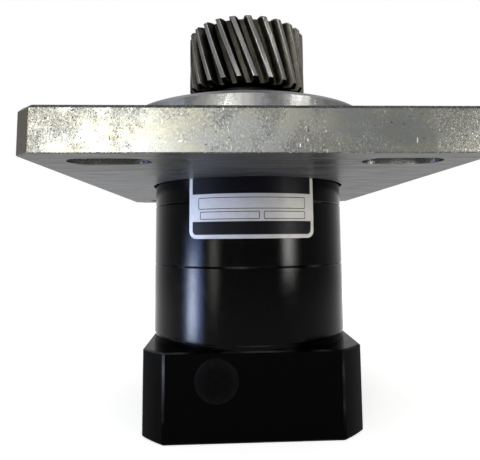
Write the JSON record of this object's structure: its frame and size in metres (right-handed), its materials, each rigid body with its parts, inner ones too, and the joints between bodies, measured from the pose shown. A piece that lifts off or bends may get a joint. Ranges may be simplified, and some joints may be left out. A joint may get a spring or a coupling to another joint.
{
  "type": "gear reducer with mounting plate",
  "caption": "Inline planetary gear reducer with a helical output pinion, hung through a slotted rectangular steel mounting plate, with a square motor adapter below.",
  "frame": {"origin": "on the gear axis, in the motor's mounting face, which is the bottom of the part", "axes": "+Z along the output shaft, away from the motor; +Y along the plate's long side; the access plug and the nameplate face -Y"},
  "size_m": [0.0974, 0.133, 0.1204],
  "materials": {
    "zinc_plate": "zinc plated, lightly scratched",
    "turned_steel": "turned",
    "black_body": "gloss black coat",
    "black_adapter": "gloss black coat",
    "nameplate": "satin foil, bare bands",
    "rubber": "matte",
    "gear_steel": "ground, oiled",
    "shaft_steel": "ground",
    "black_screw": "black oxide",
    "bearing_steel": "polished",
    "brass_cage": "machined"
  },
  "bodies": {
    "housing": {"mounting_plate": "zinc_plate", "output_flange": "turned_steel", "bearing_housing": "black_body", "ring_gear": "black_body", "input_housing": "black_body", "motor_adapter": "black_adapter", "nameplate": "nameplate", "flange_screws": "black_screw", "tie_screws": "black_screw", "adapter_screws": "black_screw", "housing_orings": "rubber", "output_seal": "rubber", "input_seal": "rubber", "front_bearing_outer_ring": "bearing_steel", "rear_bearing_outer_ring": "bearing_steel", "input_bearing_outer_ring": "bearing_steel", "bearing_outer_spacer": "shaft_steel"},
    "output_shaft": {"planet_carrier": "shaft_steel", "carrier_rear_plate": "shaft_steel", "carrier_screws": "black_screw", "planet_pins": "bearing_steel", "thrust_washers": "shaft_steel", "front_bearing_inner_ring": "bearing_steel", "rear_bearing_inner_ring": "bearing_steel", "bearing_inner_spacer": "shaft_steel", "shaft_sleeve": "shaft_steel", "pinion": "gear_steel", "pinion_key": "shaft_steel", "pinion_washer": "shaft_steel", "pinion_screw": "black_screw"},
    "input_shaft": {"input_hub": "shaft_steel", "input_bearing_inner_ring": "bearing_steel", "hub_circlip": "black_screw", "clamp_screw": "black_screw"},
    "planet_1": {"planet_gear_1": "gear_steel"},
    "needle_set_1": {"needle_rollers_1": "bearing_steel"},
    "planet_2": {"planet_gear_2": "gear_steel"},
    "needle_set_2": {"needle_rollers_2": "bearing_steel"},
    "planet_3": {"planet_gear_3": "gear_steel"},
    "needle_set_3": {"needle_rollers_3": "bearing_steel"},
    "front_ball_set": {"front_bearing_balls": "bearing_steel", "front_bearing_cage": "brass_cage"},
    "rear_ball_set": {"rear_bearing_balls": "bearing_steel", "rear_bearing_cage": "brass_cage"},
    "input_ball_set": {"input_bearing_balls": "bearing_steel", "input_bearing_cage": "brass_cage"},
    "plug": {"access_plug": "rubber"}
  },
  "joints": [
    {"name": "output_spin", "type": "hinge", "parent": "housing", "child": "output_shaft", "pos_m": [0, 0, 0.09], "axis": [0, 0, 1], "continuous": true},
    {"name": "input_spin", "type": "hinge", "parent": "housing", "child": "input_shaft", "pos_m": [0, 0, 0.03], "axis": [0, 0, 1], "continuous": true},
    {"name": "planet_1_spin", "type": "hinge", "parent": "output_shaft", "child": "planet_1", "pos_m": [0, 0.012, 0.053], "axis": [0, 0, 1], "continuous": true},
    {"name": "needle_1_roll", "type": "hinge", "parent": "output_shaft", "child": "needle_set_1", "pos_m": [0, 0.012, 0.053], "axis": [0, 0, 1], "continuous": true},
    {"name": "planet_2_spin", "type": "hinge", "parent": "output_shaft", "child": "planet_2", "pos_m": [-0.01039, -0.006, 0.053], "axis": [0, 0, 1], "continuous": true},
    {"name": "needle_2_roll", "type": "hinge", "parent": "output_shaft", "child": "needle_set_2", "pos_m": [-0.01039, -0.006, 0.053], "axis": [0, 0, 1], "continuous": true},
    {"name": "planet_3_spin", "type": "hinge", "parent": "output_shaft", "child": "planet_3", "pos_m": [0.01039, -0.006, 0.053], "axis": [0, 0, 1], "continuous": true},
    {"name": "needle_3_roll", "type": "hinge", "parent": "output_shaft", "child": "needle_set_3", "pos_m": [0.01039, -0.006, 0.053], "axis": [0, 0, 1], "continuous": true},
    {"name": "front_balls_roll", "type": "hinge", "parent": "housing", "child": "front_ball_set", "pos_m": [0, 0, 0.0803], "axis": [0, 0, 1], "continuous": true},
    {"name": "rear_balls_roll", "type": "hinge", "parent": "housing", "child": "rear_ball_set", "pos_m": [0, 0, 0.0676], "axis": [0, 0, 1], "continuous": true},
    {"name": "input_balls_roll", "type": "hinge", "parent": "housing", "child": "input_ball_set", "pos_m": [0, 0, 0.0295], "axis": [0, 0, 1], "continuous": true},
    {"name": "plug_pull", "type": "slide", "parent": "housing", "child": "plug", "axis": [0, -1, 0], "range_m": [0, 0.02]}
  ],
  "couplings": [
    {"joint": "input_spin", "follows": "output_spin", "ratio": 10},
    {"joint": "planet_1_spin", "follows": "output_spin", "ratio": -2.25},
    {"joint": "needle_1_roll", "follows": "output_spin", "ratio": -1.41},
    {"joint": "planet_2_spin", "follows": "output_spin", "ratio": -2.25},
    {"joint": "needle_2_roll", "follows": "output_spin", "ratio": -1.41},
    {"joint": "planet_3_spin", "follows": "output_spin", "ratio": -2.25},
    {"joint": "needle_3_roll", "follows": "output_spin", "ratio": -1.41},
    {"joint": "front_balls_roll", "follows": "output_spin", "ratio": 0.4419},
    {"joint": "rear_balls_roll", "follows": "output_spin", "ratio": 0.4419},
    {"joint": "input_balls_roll", "follows": "output_spin", "ratio": 4.4194}
  ]
}
